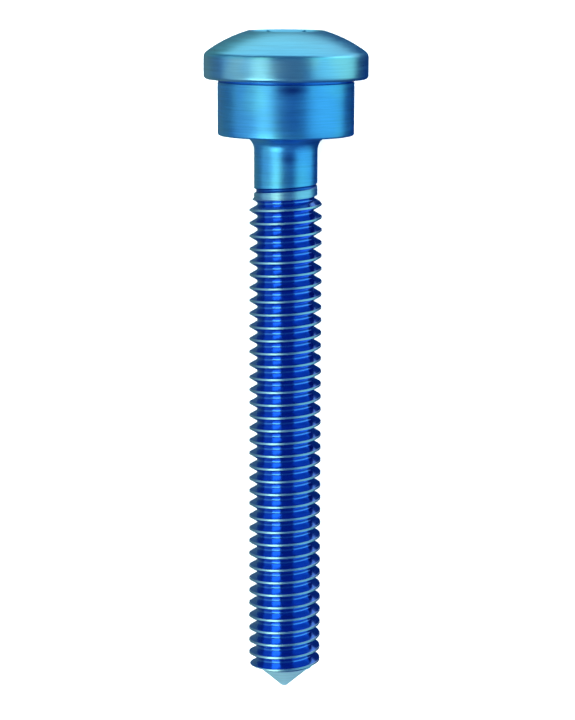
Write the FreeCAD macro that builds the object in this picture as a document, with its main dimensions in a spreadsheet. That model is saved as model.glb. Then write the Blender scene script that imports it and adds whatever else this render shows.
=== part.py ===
import FreeCAD, Part
import Sketcher

import math
import os

# Compression screw of a sliding hip screw: one piece, turned from a bar of titanium alloy.
# The screw is drawn upright on its own axis, head up, with height 0 at the rim's underside. It is then
# laid on its side, as it comes to rest: on the rim's lower edge and the last turn of the thread.
# The shank has the outer size of the thread, M4 x 0.7, and the helical groove is not cut in it.

# Driving sizes, in millimetres and degrees.
SIZES = [
    ("rim_diameter", 8.8, "widest part of the head"),
    ("rim_edge_round", 0.2, "round of the rim's lower edge"),
    ("dome_height", 2.85, "crown of the dome above the rim's underside, before the socket is cut"),
    ("dome_radius", 7.2, "radius of the dome's arc"),
    ("shoulder_round", 0.4, "round between the dome and the rim"),
    ("mouth_diameter", 4.7, "countersunk mouth of the socket, at the crown's height"),
    ("mouth_angle", 90.0, "included angle of the mouth"),
    ("socket_across_flats", 3.5, "hexagon socket for the screwdriver"),
    ("socket_depth", 2.85, "floor of the hexagon below the crown"),
    ("pilot_diameter", 3.3, "foot of the drill's cone under the hexagon"),
    ("pilot_angle", 118.0, "included angle of the drill's cone"),
    ("collar_diameter", 7.3, "guide collar, which fits the barrel of the plate"),
    ("collar_length", 3.0, "collar below the rim"),
    ("collar_edge_round", 0.12, "round of the collar's lower edge"),
    ("neck_diameter", 3.4, "plain shank between the collar and the thread"),
    ("neck_length", 3.34, "from the collar to the thread's chamfer"),
    ("neck_fillet", 0.8, "fillet between the collar and the neck"),
    ("thread_diameter", 3.9, "outer diameter of the thread"),
    ("thread_chamfer_length", 0.33, "cone from the neck out to the thread"),
    ("thread_length", 25.45, "thread at its full diameter"),
    ("end_chamfer_length", 0.26, "wide chamfer at the end of the thread"),
    ("point_diameter", 2.72, "foot of the conical point"),
    ("point_angle", 98.0, "included angle of the conical point"),
    ("tip_diameter", 0.3, "blunt end of the point"),
]

# The two ends of a line or arc, its centre, and what a sketch is drawn on.
START, END, CENTRE = range(1, 4)
ORIGIN = (-1, START)
HORIZONTAL_AXIS, VERTICAL_AXIS = range(-1, -3, -1)

# How near two radii are when they belong to the same edge.
SAME_RADIUS = 1e-4


def make_sheet(document):
    """Writes each driving size to the sheet, under its own alias."""
    table = document.addObject("Spreadsheet::Sheet", "Sizes")
    for row, (alias, value, note) in enumerate(SIZES, start=1):
        table.set("A%d" % row, note)
        table.set("B%d" % row, str(value))
        table.setAlias("B%d" % row, alias)
    document.recompute()
    return table


def check(feature):
    """Stops the build where a feature has failed or its shape is not valid."""
    doc.recompute()
    if "Invalid" in feature.State or "Error" in feature.State:
        raise RuntimeError("%s failed: %s" % (feature.Name, feature.State))
    if feature.Shape.isNull() or not feature.Shape.isValid():
        raise RuntimeError("%s has no valid shape" % feature.Name)


def check_cut(feature, before):
    """Stops the build where a cut has taken nothing away."""
    check(feature)
    if feature.Shape.Volume >= before.Shape.Volume:
        raise RuntimeError("%s cuts nothing" % feature.Name)


def new_sketch(name, role):
    """A sketch of the screw on the origin plane with this role."""
    sketch = screw.newObject("Sketcher::SketchObject", name)
    plane = next(item for item in screw.Origin.OriginFeatures if item.Role == role)
    sketch.AttachmentSupport = [(plane, "")]
    sketch.MapMode = "FlatFace"
    return sketch


def close_loop(sketch, points):
    """Draws lines from point to point and back to the first one, and joins their ends."""
    first = sketch.GeometryCount
    count = len(points)
    for index, point in enumerate(points):
        following = points[(index + 1) % count]
        sketch.addGeometry(Part.LineSegment(FreeCAD.Vector(*point), FreeCAD.Vector(*following)))
    for index in range(count):
        join = (first + index, END, first + (index + 1) % count, START)
        sketch.addConstraint(Sketcher.Constraint("Coincident", *join))
    return [first + index for index in range(count)]


def measure(sketch, name, formula, *constraint):
    """Adds a dimension to a sketch and binds it to a formula on the sheet."""
    index = sketch.addConstraint(Sketcher.Constraint(*constraint))
    sketch.renameConstraint(index, name)
    sketch.setExpression("Constraints." + name, formula)


def finish_sketch(sketch):
    """Solves a sketch and stops the build where a point of it is still free."""
    doc.recompute()
    if sketch.solve() != 0 or not sketch.FullyConstrained:
        raise RuntimeError("%s is not fully constrained" % sketch.Name)


def ring_edge(feature, radius, near_height):
    """The name of the feature's round edge with this radius that is nearest to a height."""
    found = []
    for number, edge in enumerate(feature.Shape.Edges, start=1):
        if edge.Degenerated or not isinstance(edge.Curve, Part.Circle):
            continue
        if abs(edge.Curve.Radius - radius) < SAME_RADIUS:
            found.append((abs(edge.Curve.Center.z - near_height), "Edge%d" % number))
    return min(found)[1]


def add_round(name, before, edge, formula):
    """Rounds one edge of the screw by a radius on the sheet."""
    rounding = screw.newObject("PartDesign::Fillet", name)
    rounding.Base = (before, [edge])
    rounding.setExpression("Radius", formula)
    check(rounding)
    return rounding


def cut_cone(name, before, diameter, angle, foot_height):
    """Cuts a cone that points down the axis, from its foot's diameter, its angle and its foot's height."""
    foot_radius = size[diameter] / 2
    half_angle = math.radians(size[angle] / 2)
    profile = new_sketch(name + "Outline", "XZ_Plane")
    profile.setExpression("AttachmentOffset.Base.y", foot_height)
    triangle = [(0, 0), (foot_radius, 0), (0, -foot_radius / math.tan(half_angle))]
    foot, slope, centre_line = close_loop(profile, triangle)
    profile.addConstraint(Sketcher.Constraint("Coincident", foot, START, *ORIGIN))
    profile.addConstraint(Sketcher.Constraint("Horizontal", foot))
    profile.addConstraint(Sketcher.Constraint("Vertical", centre_line))
    foot_width = ("DistanceX", foot, START, foot, END, foot_radius)
    measure(profile, "foot_radius", "Sizes.%s / 2" % diameter, *foot_width)
    cone_slope = ("Angle", slope, END, centre_line, START, half_angle)
    measure(profile, "half_angle", "Sizes.%s / 2" % angle, *cone_slope)
    finish_sketch(profile)
    cone = screw.newObject("PartDesign::Groove", name)
    cone.Profile = (profile, [""])
    cone.ReferenceAxis = (profile, ["V_Axis"])
    cone.Angle = 360
    check_cut(cone, before)
    return cone


doc = FreeCAD.newDocument("CompressionScrew")
sheet = make_sheet(doc)
size = {alias: float(getattr(sheet, alias)) for alias, _, _ in SIZES}

screw = doc.addObject("PartDesign::Body", "CompressionScrew")
screw.Label = "compression_screw"

# Radii, and depths below the rim's underside, as the sizes give them.
rim_radius = size["rim_diameter"] / 2
collar_radius = size["collar_diameter"] / 2
neck_radius = size["neck_diameter"] / 2
thread_radius = size["thread_diameter"] / 2
point_radius = size["point_diameter"] / 2
tip_radius = size["tip_diameter"] / 2
dome_centre = size["dome_height"] - size["dome_radius"]
dome_foot = dome_centre + math.sqrt(size["dome_radius"] ** 2 - rim_radius**2)
neck_end = size["collar_length"] + size["neck_length"]
thread_start = neck_end + size["thread_chamfer_length"]
thread_end = thread_start + size["thread_length"]
point_start = thread_end + size["end_chamfer_length"]
half_point = math.radians(size["point_angle"] / 2)
point_end = point_start + (point_radius - tip_radius) / math.tan(half_point)

# The turned blank: half of the screw's outline, revolved about its axis.
outline = new_sketch("BlankOutline", "XZ_Plane")
corners = [
    (rim_radius, dome_foot),
    (rim_radius, 0),
    (collar_radius, 0),
    (collar_radius, -size["collar_length"]),
    (neck_radius, -size["collar_length"]),
    (neck_radius, -neck_end),
    (thread_radius, -thread_start),
    (thread_radius, -thread_end),
    (point_radius, -point_start),
    (tip_radius, -point_end),
    (0, -point_end),
    (0, size["dome_height"]),
]
for upper, lower in zip(corners, corners[1:]):
    outline.addGeometry(Part.LineSegment(FreeCAD.Vector(*upper), FreeCAD.Vector(*lower)))
lines = range(len(corners) - 1)
RIM, SEAT, COLLAR, STEP, NECK, CHAMFER, THREAD, END_CHAMFER, POINT, TIP, AXIS = lines
circle = Part.Circle(FreeCAD.Vector(0, dome_centre), FreeCAD.Vector(0, 0, 1), size["dome_radius"])
foot_angle = math.atan2(dome_foot - dome_centre, rim_radius)
DOME = outline.addGeometry(Part.ArcOfCircle(circle, foot_angle, math.pi / 2))

for line in range(AXIS):
    outline.addConstraint(Sketcher.Constraint("Coincident", line, END, line + 1, START))
for line in (RIM, COLLAR, NECK, THREAD):
    outline.addConstraint(Sketcher.Constraint("Vertical", line))
for line in (SEAT, STEP, TIP):
    outline.addConstraint(Sketcher.Constraint("Horizontal", line))
outline.addConstraint(Sketcher.Constraint("Coincident", DOME, START, RIM, START))
outline.addConstraint(Sketcher.Constraint("Coincident", DOME, END, AXIS, END))
outline.addConstraint(Sketcher.Constraint("PointOnObject", DOME, CENTRE, VERTICAL_AXIS))
outline.addConstraint(Sketcher.Constraint("PointOnObject", DOME, END, VERTICAL_AXIS))
outline.addConstraint(Sketcher.Constraint("PointOnObject", TIP, END, VERTICAL_AXIS))
outline.addConstraint(Sketcher.Constraint("PointOnObject", RIM, END, HORIZONTAL_AXIS))

for name, line, radius in (
    ("rim", RIM, rim_radius),
    ("collar", COLLAR, collar_radius),
    ("neck", NECK, neck_radius),
    ("thread", THREAD, thread_radius),
    ("point", END_CHAMFER, point_radius),
    ("tip", POINT, tip_radius),
):
    formula = "Sizes.%s_diameter / 2" % name
    measure(outline, name + "_radius", formula, "DistanceX", *ORIGIN, line, END, radius)
for name, line in (
    ("collar_length", COLLAR),
    ("neck_length", NECK),
    ("thread_chamfer_length", CHAMFER),
    ("thread_length", THREAD),
    ("end_chamfer_length", END_CHAMFER),
):
    measure(outline, name, "Sizes." + name, "DistanceY", line, END, line, START, size[name])
crown = ("DistanceY", *ORIGIN, DOME, END, size["dome_height"])
measure(outline, "dome_height", "Sizes.dome_height", *crown)
measure(outline, "dome_radius", "Sizes.dome_radius", "Radius", DOME, size["dome_radius"])
measure(outline, "half_point", "Sizes.point_angle / 2", "Angle", POINT, END, AXIS, START, half_point)
finish_sketch(outline)

blank = screw.newObject("PartDesign::Revolution", "Blank")
blank.Profile = (outline, [""])
blank.ReferenceAxis = (outline, ["V_Axis"])
blank.Angle = 360
check(blank)

# Rounded and filleted edges, from the head down.
shoulder_edge = ring_edge(blank, rim_radius, dome_foot)
shoulder = add_round("Shoulder", blank, shoulder_edge, "Sizes.shoulder_round")
rim_edge = ring_edge(shoulder, rim_radius, 0)
rim_round = add_round("RimEdge", shoulder, rim_edge, "Sizes.rim_edge_round")
collar_edge = ring_edge(rim_round, collar_radius, -size["collar_length"])
collar_round = add_round("CollarEdge", rim_round, collar_edge, "Sizes.collar_edge_round")
neck_edge = ring_edge(collar_round, neck_radius, -size["collar_length"])
neck_fillet = add_round("NeckFillet", collar_round, neck_edge, "Sizes.neck_fillet")

# Hexagon socket, sunk from the crown of the dome, with two flats square to the Y axis.
hexagon = new_sketch("SocketHexagon", "XY_Plane")
hexagon.setExpression("AttachmentOffset.Base.z", "Sizes.dome_height")
corner_radius = size["socket_across_flats"] / math.sqrt(3)
hexagon_corners = []
for number in range(6):
    turn = math.radians(60 * number)
    hexagon_corners.append((corner_radius * math.cos(turn), corner_radius * math.sin(turn)))
sides = close_loop(hexagon, hexagon_corners)
ring = Part.Circle(FreeCAD.Vector(), FreeCAD.Vector(0, 0, 1), corner_radius)
guide = hexagon.addGeometry(ring, True)
hexagon.addConstraint(Sketcher.Constraint("Coincident", guide, CENTRE, *ORIGIN))
for side in sides:
    hexagon.addConstraint(Sketcher.Constraint("PointOnObject", side, START, guide))
for side in sides[1:]:
    hexagon.addConstraint(Sketcher.Constraint("Equal", sides[0], side))
back_flat = sides[1]
hexagon.addConstraint(Sketcher.Constraint("Horizontal", back_flat))
half_flats = ("DistanceY", *ORIGIN, back_flat, START, size["socket_across_flats"] / 2)
measure(hexagon, "half_flats", "Sizes.socket_across_flats / 2", *half_flats)
finish_sketch(hexagon)

socket = screw.newObject("PartDesign::Pocket", "Socket")
socket.Profile = (hexagon, [""])
socket.setExpression("Length", "Sizes.socket_depth")
check_cut(socket, neck_fillet)

# The countersunk mouth of the socket, and the cone that the pilot drill leaves under its floor.
mouth = cut_cone("Mouth", socket, "mouth_diameter", "mouth_angle", "Sizes.dome_height")
floor_height = "Sizes.dome_height - Sizes.socket_depth"
cut_cone("PilotCone", mouth, "pilot_diameter", "pilot_angle", floor_height)

# The screw comes to rest with its axis tipped: the line under it touches the rim's lower round and
# the end of the thread. The half that faces -Y while the screw is upright then faces up.
edge_round = size["rim_edge_round"]
fall = rim_radius - edge_round - thread_radius
run = thread_end + edge_round
tilt = math.atan2(fall, run) + math.asin(edge_round / math.hypot(fall, run))
lying = FreeCAD.Rotation(FreeCAD.Vector(1, 0, 0), math.degrees(tilt) - 90)
screw.Placement = FreeCAD.Placement(FreeCAD.Vector(), lying)
doc.recompute()
box = screw.Shape.optimalBoundingBox(False, False)
screw.Placement.Base = FreeCAD.Vector(-box.Center.x, -box.Center.y, -box.ZMin)
doc.recompute()

for item in doc.Objects:
    if "Invalid" in item.State or "Error" in item.State:
        raise RuntimeError("%s failed: %s" % (item.Name, item.State))
check(screw)
if len(screw.Shape.Solids) != 1:
    raise RuntimeError("the screw is not one solid")

os.makedirs("parts", exist_ok=True)
screw.Shape.exportStep("parts/%s.step" % screw.Label)
box = screw.Shape.optimalBoundingBox(False, False)
print("compression_screw: volume %.2f mm3, tipped by %.3f degrees" % (screw.Shape.Volume, math.degrees(tilt)))
print("box x %.3f %.3f, y %.3f %.3f, z %.3f %.3f" % (box.XMin, box.XMax, box.YMin, box.YMax, box.ZMin, box.ZMax))
print("moved by y %.4f, z %.4f" % (screw.Placement.Base.y, screw.Placement.Base.z))
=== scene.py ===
import math

import bpy
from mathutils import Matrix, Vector


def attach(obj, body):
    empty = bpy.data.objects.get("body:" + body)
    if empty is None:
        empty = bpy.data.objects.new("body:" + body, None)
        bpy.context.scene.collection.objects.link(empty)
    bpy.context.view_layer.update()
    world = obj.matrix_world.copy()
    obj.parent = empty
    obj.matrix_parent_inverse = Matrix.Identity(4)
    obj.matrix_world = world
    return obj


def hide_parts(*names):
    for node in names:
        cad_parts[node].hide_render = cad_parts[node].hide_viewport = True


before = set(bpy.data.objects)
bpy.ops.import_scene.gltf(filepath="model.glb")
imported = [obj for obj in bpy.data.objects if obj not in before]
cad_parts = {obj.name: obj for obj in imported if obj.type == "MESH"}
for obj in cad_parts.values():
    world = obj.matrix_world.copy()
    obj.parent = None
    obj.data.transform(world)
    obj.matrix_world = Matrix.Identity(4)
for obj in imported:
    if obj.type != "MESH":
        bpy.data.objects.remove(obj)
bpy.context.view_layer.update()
bpy.ops.object.select_all(action="DESELECT")


# The turned blank
# The whole screw is one piece, turned on a lathe from a bar of titanium alloy: a domed head with a rim,
# a relief groove, the guide collar that slides in the barrel of the plate, a neck, the shank and a conical
# point. It is drawn upright, head up, with height 0 at the rim's underside, as it sat in the lathe.
MM = 0.001
TURN_STEPS = 128
MERGE_WITHIN = 1e-4 * MM

dome_radius, dome_height = 7.2, 2.85
rim_radius, rim_edge_round = 4.4, 0.2
shoulder_round = 0.4
relief_width, relief_depth, relief_chamfer = 0.14, 0.12, 0.04
collar_radius, collar_length, collar_edge_round = 3.65, 3.0, 0.12
neck_radius, neck_end, neck_fillet = 1.7, -6.34, 0.8
thread_radius, thread_start, thread_end = 1.95, -6.67, -32.12
point_radius, point_start, point_angle = 1.36, -32.38, 98.0
tip_radius = 0.15


def at(radius, height):
    """A point of the outline, from a radius and a height in millimetres."""
    return Vector((radius * MM, 0, height * MM))


def arc(centre, radius, first, last, steps):
    """Points of an arc from one angle to another, in degrees from the outward direction."""
    points = []
    for step in range(steps + 1):
        angle = math.radians(first + (last - first) * step / steps)
        points.append(at(centre[0] + radius * math.cos(angle), centre[1] + radius * math.sin(angle)))
    return points


def straight(radius, top, bottom, steps):
    """Points down a cylinder between two heights, so that its faces stay short."""
    return [at(radius, top + (bottom - top) * step / steps) for step in range(steps + 1)]


def draw_line(name, points):
    """Draws a line through the points, by extruding one vertex from each point to the next."""
    bpy.ops.mesh.primitive_plane_add(size=MM, location=points[0])
    line = bpy.context.object
    line.name = name
    bpy.ops.object.mode_set(mode="EDIT")
    bpy.ops.mesh.select_all(action="SELECT")
    bpy.ops.mesh.merge(type="CENTER")
    for start, end in zip(points, points[1:]):
        bpy.ops.mesh.extrude_region_move(TRANSFORM_OT_translate={"value": end - start})
    return line


dome_centre = dome_height - dome_radius
shoulder_across = rim_radius - shoulder_round
shoulder_up = dome_centre + math.sqrt((dome_radius - shoulder_round) ** 2 - shoulder_across**2)
shoulder_angle = math.degrees(math.atan2(shoulder_up - dome_centre, shoulder_across))
collar_end = collar_edge_round - collar_length
fillet_height = -collar_length - neck_fillet
point_end = point_start - (point_radius - tip_radius) / math.tan(math.radians(point_angle / 2))

outline = arc((0, dome_centre), dome_radius, 90, shoulder_angle, steps=24)
outline += arc((shoulder_across, shoulder_up), shoulder_round, shoulder_angle, 0, steps=6)[1:]
outline += straight(rim_radius, shoulder_up, rim_edge_round, steps=4)[1:]
outline += arc((rim_radius - rim_edge_round, rim_edge_round), rim_edge_round, 0, -90, steps=6)[1:]
outline += [at(collar_radius - relief_depth, 0), at(collar_radius - relief_depth, -relief_width)]
outline += [at(collar_radius - relief_chamfer, -relief_width)]
outline += straight(collar_radius, -relief_width - relief_chamfer, collar_end, steps=8)
outline += arc((collar_radius - collar_edge_round, collar_end), collar_edge_round, 0, -90, steps=5)[1:]
outline += arc((neck_radius + neck_fillet, fillet_height), neck_fillet, 90, 180, steps=12)
outline += straight(neck_radius, fillet_height, neck_end, steps=14)[1:]
outline += [at(thread_radius, thread_start), at(thread_radius, thread_end)]
outline += [at(point_radius, point_start), at(tip_radius, point_end), at(0, point_end)]

screw = draw_line("bone_compression_screw_turned", outline)
bpy.ops.mesh.select_all(action="SELECT")
bpy.ops.mesh.spin(steps=TURN_STEPS, angle=2 * math.pi, center=(0, 0, 0), axis=(0, 0, 1))
bpy.ops.mesh.select_all(action="SELECT")
bpy.ops.mesh.remove_doubles(threshold=MERGE_WITHIN)
bpy.ops.mesh.normals_make_consistent(inside=False)
bpy.ops.object.mode_set(mode="OBJECT")
bpy.ops.object.transform_apply(location=True, rotation=True, scale=True)


def cut_away(piece, cutter):
    """Cuts one mesh out of another and deletes the cutter."""
    cut = piece.modifiers.new("cut", "BOOLEAN")
    cut.operation = "DIFFERENCE"
    cut.solver = "EXACT"
    cut.object = cutter
    bpy.ops.object.select_all(action="DESELECT")
    bpy.context.view_layer.objects.active = piece
    bpy.ops.object.modifier_apply(modifier=cut.name)
    bpy.data.objects.remove(cutter)


# The hexagon socket
# The socket for the screwdriver is drilled from the crown, countersunk at its mouth and then broached to
# a hexagon, 3.5 mm across its flats. The drill's cone stays under the hexagon's floor.
socket_flats, socket_floor, socket_turn = 3.5, 0.0, 30.0
mouth_radius, mouth_angle = 2.35, 90.0
pilot_radius, pilot_angle = 1.65, 118.0
socket_top = 4.0
cutter_overlap = 0.5
facing_up = 0.9


def drill_cone(foot_radius, angle, foot_height):
    """Cuts a cone that points down the axis, with a short shaft above its foot."""
    depth = foot_radius / math.tan(math.radians(angle / 2)) * MM
    bpy.ops.object.select_all(action="DESELECT")
    bpy.ops.mesh.primitive_cone_add(
        vertices=TURN_STEPS,
        radius1=0,
        radius2=foot_radius * MM,
        depth=depth,
        location=(0, 0, foot_height * MM - depth / 2),
    )
    drill = bpy.context.object
    bpy.ops.object.mode_set(mode="EDIT")
    bpy.ops.mesh.select_all(action="DESELECT")
    bpy.ops.object.mode_set(mode="OBJECT")
    for face in drill.data.polygons:
        face.select = face.normal.z > facing_up
    bpy.ops.object.mode_set(mode="EDIT")
    bpy.ops.mesh.extrude_region_move(TRANSFORM_OT_translate={"value": (0, 0, cutter_overlap * MM)})
    bpy.ops.object.mode_set(mode="OBJECT")
    bpy.ops.object.transform_apply(location=True, rotation=True, scale=True)
    cut_away(screw, drill)


drill_cone(mouth_radius, mouth_angle, dome_height)
socket_height = (socket_top - socket_floor) * MM
bpy.ops.mesh.primitive_cylinder_add(
    vertices=6,
    radius=socket_flats / math.sqrt(3) * MM,
    depth=socket_height,
    location=(0, 0, socket_floor * MM + socket_height / 2),
)
broach = bpy.context.object
broach.rotation_euler.z = math.radians(socket_turn)
bpy.ops.object.transform_apply(location=True, rotation=True, scale=True)
cut_away(screw, broach)
drill_cone(pilot_radius, pilot_angle, socket_floor)


# The thread
# The thread is M4 x 0.7, single start and right-handed, cut with a pointed tool whose tip is rounded. The
# tool is drawn back over the last turns, so that the groove gets shallow and ends in the neck.
pitch = 0.7
groove_round = 0.1
tool_top = 2.0
groove_height = -7.02
full_turns, straight_turns, lift_turns = 37, 0.5, 2.25
full_lift, lift_power = 0.22, 1.7
flank_angle = 30

# The crests are flats, an eighth of the pitch wide.
crest_half = pitch / 8 / 2
half_flank = math.radians(flank_angle)
apex = thread_radius - (pitch / 2 - crest_half) / math.tan(half_flank)
tool_half = (tool_top - apex) * math.tan(half_flank)
tip_centre = (apex + groove_round / math.sin(half_flank), groove_height)
tool_outline = [at(tool_top, groove_height - tool_half)]
tool_outline += arc(tip_centre, groove_round, 270 - flank_angle, 90 + flank_angle, steps=6)
tool_outline += [at(tool_top, groove_height + tool_half)]

run_out = draw_line("run_out", tool_outline)
bpy.ops.object.mode_set(mode="OBJECT")
for vertex in run_out.data.vertices:
    vertex.select = vertex.index in (0, len(tool_outline) - 1)
bpy.ops.object.mode_set(mode="EDIT")
bpy.ops.mesh.edge_face_add()
bpy.ops.object.mode_set(mode="OBJECT")
bpy.ops.object.transform_apply(location=True, rotation=True, scale=True)
bpy.ops.object.duplicate()
groove = bpy.context.object
groove.name = "groove"

winding = groove.modifiers.new("winding", "SCREW")
winding.angle = -2 * math.pi
winding.steps = TURN_STEPS
winding.render_steps = TURN_STEPS
winding.screw_offset = -pitch * MM
winding.iterations = full_turns
winding.use_merge_vertices = False
winding.use_normal_calculate = False
bpy.ops.object.modifier_apply(modifier=winding.name)

# The tool goes on for half a turn at full depth, and is then drawn back, first slowly and then faster.
bpy.ops.object.select_all(action="DESELECT")
bpy.context.view_layer.objects.active = run_out
run_out.select_set(True)
bpy.ops.object.mode_set(mode="EDIT")
bpy.ops.mesh.select_all(action="SELECT")
straight_steps = round(straight_turns * TURN_STEPS)
lift_steps = round(lift_turns * TURN_STEPS)
step_angle = 2 * math.pi / TURN_STEPS
step_rise = pitch / TURN_STEPS
lift_before = 0.0
for step in range(1, straight_steps + lift_steps + 1):
    bpy.ops.mesh.extrude_region_move(TRANSFORM_OT_translate={"value": (0, 0, step_rise * MM)})
    bpy.ops.transform.rotate(value=-step_angle, orient_axis="Z", center_override=(0, 0, 0))
    if step > straight_steps:
        lift = full_lift * ((step - straight_steps) / lift_steps) ** lift_power
        outwards = (lift - lift_before) * MM
        turned = step * step_angle
        bpy.ops.transform.translate(value=(outwards * math.cos(turned), outwards * math.sin(turned), 0))
        lift_before = lift
bpy.ops.object.mode_set(mode="OBJECT")

groove.select_set(True)
bpy.context.view_layer.objects.active = groove
bpy.ops.object.join()
bpy.ops.object.mode_set(mode="EDIT")
bpy.ops.mesh.select_all(action="SELECT")
bpy.ops.mesh.remove_doubles(threshold=MERGE_WITHIN)
bpy.ops.mesh.fill_holes(sides=0)
bpy.ops.mesh.normals_make_consistent(inside=False)
bpy.ops.object.mode_set(mode="OBJECT")
cut_away(screw, groove)

bpy.ops.object.select_all(action="DESELECT")
screw.select_set(True)
bpy.context.view_layer.objects.active = screw
bpy.ops.object.mode_set(mode="EDIT")
bpy.ops.mesh.select_all(action="SELECT")
bpy.ops.mesh.remove_doubles(threshold=MERGE_WITHIN)
bpy.ops.mesh.normals_make_consistent(inside=False)
bpy.ops.object.mode_set(mode="OBJECT")


# Laid on its side
# The screw lies as it comes to rest, on the rim's lower edge and the end of the thread, with its axis
# tipped towards the point. The side that faced the front while it stood upright faces up.
lie_tilt = 4.336
lie_along, lie_up = 15.324, 4.373
smooth_below = 22.0
screw.rotation_euler.x = math.radians(lie_tilt - 90)
screw.location = (0, lie_along * MM, lie_up * MM)
bpy.ops.object.transform_apply(location=True, rotation=True, scale=True)
bpy.ops.object.shade_smooth_by_angle(angle=math.radians(smooth_below))

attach(screw, "root")
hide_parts("compression_screw")


# The anodised finish
# The titanium is anodised blue, and fine turning lines run round it. Head, collar and neck are satin, the
# head a little greyer. The thread is smoother and the deepest blue, its crests are worn pale, and the point
# is pale and matt.
COLLAR_BLUE, COLLAR_TEAL = (0.12, 0.41, 0.92, 1), (0.16, 0.50, 0.84, 1)
RIM_BLUE, RIM_TEAL = (0.28, 0.52, 0.84, 1), (0.42, 0.62, 0.78, 1)
DOME_BLUE = (0.18, 0.62, 0.82, 1)
# Painted shade: a deeper blue in the relief groove under the rim.
RELIEF_SHADE_BLUE = (0.04, 0.20, 0.80, 1)
# Painted shade: a dark blue for two spots under the rim and under the collar's fillet.
PAINTED_SHADE_BLUE = (0.03, 0.10, 0.40, 1)
THREAD_BLUE = (0.09, 0.24, 0.77, 1)
# Painted shade: a deep blue in the run-out groove.
RUN_OUT_SHADE_BLUE = (0.03, 0.12, 0.50, 1)
# Pale on the worn crests, and also a painted highlight on the band under the run-out.
CREST_WEAR_AND_HIGHLIGHT_BLUE = (0.47, 0.62, 0.79, 1)
POINT_BLUE = (0.40, 0.68, 0.80, 1)
COLLAR_ROUGH, HEAD_ROUGH, THREAD_ROUGH, CREST_ROUGH, POINT_ROUGH = 0.36, 0.31, 0.16, 0.36, 0.5
POINT_METAL = 0.78
HEAD_COAT, COAT_ROUGH, COAT_IOR = 0.08, 0.3, 1.8
DARK_LINE, LIGHT_LINE, LINE_ROUGH = 0.72, 1.28, 0.18
LINE_STRENGTH, LINE_DEPTH = 0.5, 0.006

# Each part of the finish begins at the first height, radius or depth and is complete at the second, in
# millimetres. The edge of the painted shade spots is in half widths.
head_edge = (-0.04, 0.0)
dome_edge = (1.1, 1.45)
relief_top, relief_foot = (0.02, 0.0), (-relief_width - 0.06, -relief_width - 0.01)
relief_inside = (collar_radius - 0.01, collar_radius - 0.07)
thread_edge = (-6.2, -6.4)
crest_edge = (thread_radius - 0.045, thread_radius - 0.015)
point_edge = (thread_end, thread_end - 0.18)
painted_shade_edge, front_edge = (1.4, 0.1), (0.0, -0.5)
band_top, band_foot = (-5.7, -5.85), (-6.6, -6.4)
band_outside = (neck_radius - 0.07, neck_radius - 0.02)
run_out_top, run_out_foot = (-5.1, -5.3), (-6.5, -6.3)
run_out_inside = (neck_radius - 0.005, neck_radius - 0.04)
run_out_slope, band_highlight_strength, neck_painted_shade_strength = 0.103, 0.7, 0.6

# How often the turning lines and the film's variation come in a metre across, deep and along the screw.
lines_in_metre = (350, 350, 9000)
film_in_metre = (420, 420, 300)
film_edge = (0.35, 0.65)

titanium = bpy.data.materials.new("blue_anodised_titanium")
titanium.use_nodes = True
screw.data.materials.append(titanium)
tree = titanium.node_tree
finish = tree.nodes["Principled BSDF"]


def add_node(kind, **settings):
    """Adds a shader node and sets its properties and the sockets that are named."""
    node = tree.nodes.new("ShaderNode" + kind)
    for name, value in settings.items():
        if hasattr(node, name):
            setattr(node, name, value)
        else:
            node.inputs[name.replace("_", " ")].default_value = value
    return node


def link(source, target):
    """Joins an output socket to an input socket."""
    tree.links.new(source, target)


def calculate(operation, first, second=None):
    """Adds a Math node on a socket and a socket or a number."""
    node = add_node("Math", operation=operation)
    link(first, node.inputs[0])
    if isinstance(second, (int, float)):
        node.inputs[1].default_value = second
    elif second is not None:
        link(second, node.inputs[1])
    return node.outputs[0]


def between(value, start, end):
    """Goes smoothly from 0 at the start, in millimetres, to 1 at the end."""
    node = add_node("MapRange", interpolation_type="SMOOTHSTEP")
    link(value, node.inputs["Value"])
    node.inputs["From Min"].default_value = start * MM
    node.inputs["From Max"].default_value = end * MM
    return node.outputs["Result"]


def mix_colour(share, first, second):
    """Mixes two colours, each one a socket or four numbers, by a share from 0 to 1."""
    node = add_node("Mix", data_type="RGBA")
    link(share, node.inputs["Factor"])
    for value, socket in ((first, node.inputs[6]), (second, node.inputs[7])):
        if isinstance(value, tuple):
            socket.default_value = value
        else:
            link(value, socket)
    return node.outputs[2]


def mix_value(share, first, second):
    """Mixes two values, each one a socket or a number, by a share from 0 to 1."""
    node = add_node("Mix", data_type="FLOAT")
    link(share, node.inputs["Factor"])
    for value, socket in ((first, node.inputs[2]), (second, node.inputs[3])):
        if isinstance(value, (int, float)):
            socket.default_value = value
        else:
            link(value, socket)
    return node.outputs[0]


# The place on the screw as it stood upright in the lathe: its height, and its distance from the axis.
place = add_node("TexCoord")
upright = add_node("Mapping", vector_type="TEXTURE")
upright.inputs["Location"].default_value = (0, lie_along * MM, lie_up * MM)
upright.inputs["Rotation"].default_value = (math.radians(lie_tilt - 90), 0, 0)
link(place.outputs["Object"], upright.inputs["Vector"])
parts = add_node("SeparateXYZ")
link(upright.outputs["Vector"], parts.inputs["Vector"])
height = parts.outputs["Z"]
flat = add_node("CombineXYZ")
link(parts.outputs["X"], flat.inputs["X"])
link(parts.outputs["Y"], flat.inputs["Y"])
reach = add_node("VectorMath", operation="LENGTH")
link(flat.outputs["Vector"], reach.inputs[0])
radius = reach.outputs["Value"]

head_share = between(height, *head_edge)
dome_share = between(height, *dome_edge)
# The relief groove under the rim is painted a deeper blue: painted shade.
relief_shade_share = calculate("MULTIPLY", between(radius, *relief_inside), between(height, *relief_foot))
relief_shade_share = calculate("MULTIPLY", relief_shade_share, between(height, *relief_top))
thread_share = between(height, *thread_edge)
worn_crest_and_band_highlight = calculate("MULTIPLY", between(radius, *crest_edge), thread_share)
point_share = between(height, *point_edge)


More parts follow.
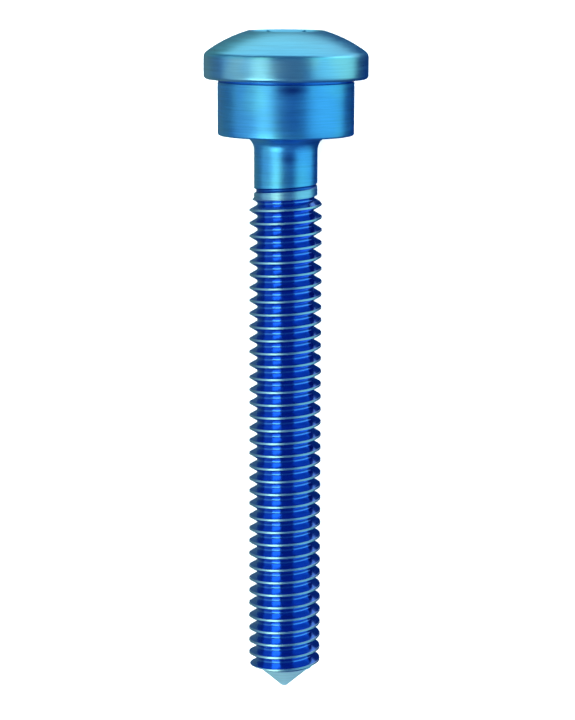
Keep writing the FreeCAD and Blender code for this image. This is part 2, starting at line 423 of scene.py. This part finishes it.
def painted_shade_oval(across, up, half_width, half_height):
    """A soft oval on the front, by its centre and half sizes in millimetres, 1 in it and 0 round it."""
    sideways = calculate("DIVIDE", calculate("SUBTRACT", parts.outputs["X"], across * MM), half_width)
    upwards = calculate("DIVIDE", calculate("SUBTRACT", height, up * MM), half_height)
    square = calculate("ADD", calculate("POWER", sideways, 2), calculate("POWER", upwards, 2))
    inside = between(calculate("SQRT", square), *painted_shade_edge)
    return calculate("MULTIPLY", inside, between(parts.outputs["Y"], *front_edge))


# Two small spots on the front, under the rim and under the collar's fillet, are painted a darker blue:
# painted shade.
collar_painted_shade = painted_shade_oval(across=0.3, up=-0.42, half_width=0.85, half_height=0.28)
neck_painted_shade = painted_shade_oval(across=0.17, up=-4.15, half_width=0.42, half_height=0.34)
neck_painted_shade = calculate("MULTIPLY", neck_painted_shade, neck_painted_shade_strength)
painted_shade_share = calculate("MAXIMUM", collar_painted_shade, neck_painted_shade)

# The run-out rises to the right across the front. Its groove is painted deep blue, a painted shade, and the
# band under it is painted pale, a painted highlight.
run_out_height = calculate("SUBTRACT", height, calculate("MULTIPLY", parts.outputs["X"], run_out_slope))
band_highlight = calculate("MULTIPLY", between(run_out_height, *band_top), between(height, *band_foot))
band_highlight = calculate("MULTIPLY", band_highlight, band_highlight_strength)
band_highlight = calculate("MULTIPLY", between(radius, *band_outside), band_highlight)
# The band takes the crests' pale colour as a painted highlight.
worn_crest_and_band_highlight = calculate("MAXIMUM", worn_crest_and_band_highlight, band_highlight)
# The run-out groove is painted deep blue: painted shade.
run_out_shade_share = calculate("MULTIPLY", between(radius, *run_out_inside), between(height, *run_out_top))
run_out_shade_share = calculate("MULTIPLY", run_out_shade_share, between(height, *run_out_foot))

# Fine turning lines, which run round the screw.
lines_place = add_node("Mapping", Scale=lines_in_metre)
link(upright.outputs["Vector"], lines_place.inputs["Vector"])
lines = add_node("TexNoise", Scale=1.0, Detail=3.0, Roughness=0.6)
link(lines_place.outputs["Vector"], lines.inputs["Vector"])

# The film's thickness varies a little, which turns the blue slightly to green or to violet.
film_place = add_node("Mapping", Scale=film_in_metre)
link(upright.outputs["Vector"], film_place.inputs["Vector"])
film = add_node("TexNoise", Scale=1.0, Detail=2.0, Roughness=0.5)
link(film_place.outputs["Vector"], film.inputs["Vector"])
film_share = between(calculate("MULTIPLY", film.outputs["Fac"], MM), *film_edge)

plain = mix_colour(film_share, COLLAR_BLUE, COLLAR_TEAL)
rim = mix_colour(film_share, RIM_BLUE, RIM_TEAL)
head = mix_colour(dome_share, rim, DOME_BLUE)
colour = mix_colour(head_share, plain, head)
colour = mix_colour(relief_shade_share, colour, RELIEF_SHADE_BLUE)
# Painted shade in two spots, under the rim and under the collar's fillet.
colour = mix_colour(painted_shade_share, colour, PAINTED_SHADE_BLUE)
colour = mix_colour(thread_share, colour, THREAD_BLUE)
colour = mix_colour(run_out_shade_share, colour, RUN_OUT_SHADE_BLUE)
colour = mix_colour(worn_crest_and_band_highlight, colour, CREST_WEAR_AND_HIGHLIGHT_BLUE)
colour = mix_colour(point_share, colour, POINT_BLUE)
shade = add_node("VectorMath", operation="SCALE")
link(colour, shade.inputs[0])
link(mix_value(lines.outputs["Fac"], DARK_LINE, LIGHT_LINE), shade.inputs["Scale"])
link(shade.outputs["Vector"], finish.inputs["Base Color"])

rough = mix_value(head_share, COLLAR_ROUGH, HEAD_ROUGH)
rough = mix_value(thread_share, rough, THREAD_ROUGH)
rough = mix_value(worn_crest_and_band_highlight, rough, CREST_ROUGH)
rough = mix_value(point_share, rough, POINT_ROUGH)
line_rough = calculate("MULTIPLY", calculate("SUBTRACT", lines.outputs["Fac"], 0.5), LINE_ROUGH)
link(calculate("ADD", rough, line_rough), finish.inputs["Roughness"])
link(mix_value(point_share, 1.0, POINT_METAL), finish.inputs["Metallic"])
link(mix_value(head_share, 0.0, HEAD_COAT), finish.inputs["Coat Weight"])
finish.inputs["Coat Roughness"].default_value = COAT_ROUGH
finish.inputs["Coat IOR"].default_value = COAT_IOR

line_relief = add_node("Bump", Strength=LINE_STRENGTH, Distance=LINE_DEPTH * MM)
link(lines.outputs["Fac"], line_relief.inputs["Height"])
link(line_relief.outputs["Normal"], finish.inputs["Normal"])


# The floor
# A flat sheet of plain white studio paper. It is not part of the screw, and the metal doesn't mirror it.
floor_size = 1.6
PAPER_WHITE = (0.9, 0.9, 0.9, 1)
PAPER_ROUGH = 0.9

bpy.ops.object.select_all(action="DESELECT")
bpy.ops.mesh.primitive_plane_add(size=floor_size, location=(0, 0, 0))
floor = bpy.context.object
floor.name = "floor"
paper = bpy.data.materials.new("white_studio_paper")
paper.use_nodes = True
matt = paper.node_tree.nodes["Principled BSDF"]
matt.inputs["Base Color"].default_value = PAPER_WHITE
matt.inputs["Roughness"].default_value = PAPER_ROUGH
floor.data.materials.append(paper)
floor.visible_glossy = False


# The lights
# A narrow soft box stands along the screw on the left and a broad one on the right, each in two lengths: the
# head mirrors the first and the thread the second. A broad dim one stands low on the left, and one beyond the
# head lights the dome. The fill overhead lights the paper and isn't mirrored in the metal.
box_distance = 0.3


def soft_light(name, place, along, across, brightness, colour, shift=0.0):
    """Adds a soft box of this size and brightness that faces the screw and isn't seen itself."""
    bpy.ops.object.light_add(type="AREA", location=place)
    lamp = bpy.context.object
    lamp.name = name
    lamp.data.shape = "RECTANGLE"
    lamp.data.size = along
    lamp.data.size_y = across
    lamp.data.energy = brightness * along * across * math.pi
    lamp.data.color = colour
    lamp.rotation_euler = Vector(place).to_track_quat("Z", "Y").to_euler()
    lamp.location.y += shift
    lamp.visible_camera = False
    return lamp


def around(angle):
    """A place at the boxes' distance from the screw, by the angle from straight above towards the right."""
    return (box_distance * math.sin(math.radians(angle)), 0, box_distance * math.cos(math.radians(angle)))


soft_light(
    "left_soft_box",
    around(-35),
    along=0.3,
    across=0.12,
    brightness=1.45,
    colour=(0.62, 0.95, 0.54),
    shift=0.1,
)
soft_light(
    "left_thread_soft_box",
    around(-37),
    along=0.2,
    across=0.19,
    brightness=3.5,
    colour=(0.60, 0.98, 0.64),
    shift=-0.165,
)
soft_light(
    "left_far_soft_box",
    around(-72),
    along=0.5,
    across=0.27,
    brightness=0.52,
    colour=(0.55, 0.95, 0.76),
)
soft_light(
    "right_soft_box",
    around(73),
    along=0.3,
    across=0.45,
    brightness=1.05,
    colour=(0.36, 1.0, 0.81),
    shift=0.1,
)
soft_light(
    "right_thread_soft_box",
    around(73),
    along=0.2,
    across=0.45,
    brightness=0.5,
    colour=(0.40, 0.95, 0.78),
    shift=-0.15,
)
soft_light(
    "head_soft_box",
    (0.07, 0.3, -0.06),
    along=0.8,
    across=0.4,
    brightness=0.8,
    colour=(0.9, 1.0, 1.0),
)
fill = soft_light(
    "overhead_fill",
    (0, 0, 0.6),
    along=1.2,
    across=1.2,
    brightness=4.5,
    colour=(1.0, 1.0, 1.0),
)
fill.visible_glossy = False

# The studio's dim surroundings are blue above, teal below on the left and nearly dark below on the right.
# The camera itself sees a white backdrop. From here on the node functions add to the studio's nodes.
BLUE_ABOVE = (0.048, 0.147, 0.30, 1)
TEAL_BELOW = (0.135, 0.255, 0.255, 1)
DARK_BELOW = (0.006, 0.042, 0.18, 1)
BACKDROP = (1, 1, 1, 1)
below_edge, right_edge = (0.1, 0.7), (0.45, 1.2)
world = bpy.data.worlds.new("studio")
world.use_nodes = True
tree = world.node_tree
direction = add_node("SeparateXYZ")
link(add_node("TexCoord").outputs["Generated"], direction.inputs["Vector"])
below = calculate("MULTIPLY", direction.outputs["Z"], -MM)
to_right = calculate("ADD", below, calculate("MULTIPLY", direction.outputs["X"], MM))
surroundings = mix_colour(between(below, *below_edge), BLUE_ABOVE, TEAL_BELOW)
surroundings = mix_colour(between(to_right, *right_edge), surroundings, DARK_BELOW)
surroundings = mix_colour(add_node("LightPath").outputs["Is Camera Ray"], surroundings, BACKDROP)
link(surroundings, tree.nodes["Background"].inputs["Color"])
bpy.context.scene.world = world
bpy.context.scene.view_settings.view_transform = "Standard"


# The camera
# The photograph looks at the upright screw from the front and from a little above the head, so here
# the camera looks down on the screw as it lies.
camera_right, camera_along, camera_up = 0.087, 12.233, 138.393
camera_tilt, camera_turn = -5.095, 0.18
camera_lens, camera_clip = 125.05, 0.01

bpy.ops.object.camera_add(location=(camera_right * MM, camera_along * MM, camera_up * MM))
camera = bpy.context.object
camera.name = "camera"
camera.data.lens = camera_lens
camera.data.clip_start = camera_clip
camera.rotation_euler = (math.radians(camera_tilt), 0, math.radians(camera_turn))
bpy.context.scene.camera = camera
